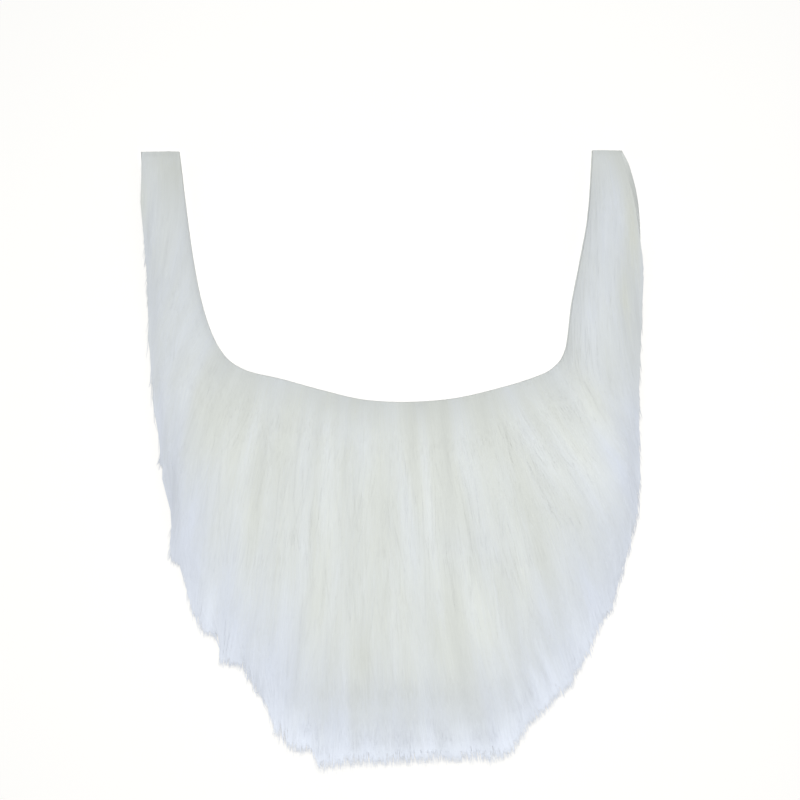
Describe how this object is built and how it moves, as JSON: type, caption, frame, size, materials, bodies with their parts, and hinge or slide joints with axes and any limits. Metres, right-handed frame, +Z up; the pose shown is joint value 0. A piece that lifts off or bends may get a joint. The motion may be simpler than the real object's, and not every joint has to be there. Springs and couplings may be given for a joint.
{
  "type": "false beard of long-pile fur fabric",
  "caption": "U-shaped false beard with sideburns, cut from long white pile fur fabric on a flat knitted ground, with hair that falls past its outer edge in tufts.",
  "frame": {"origin": "on the ground under the middle of the beard's box, as it lies on its back", "axes": "+Y from the chin hem to the sideburn tops, +Z up out of the fur, +X to the right of someone who looks down on the fur"},
  "size_m": [0.2528, 0.311, 0.0171],
  "materials": {
    "knitted_ground": "fine warp-knitted ground in natural white, matt",
    "fur_pile": "long white acrylic pile, combed down, soft satin sheen along the fibres"
  },
  "bodies": {
    "root": {"backing_cloth": "knitted_ground", "fur_pile": "fur_pile"}
  },
  "joints": []
}
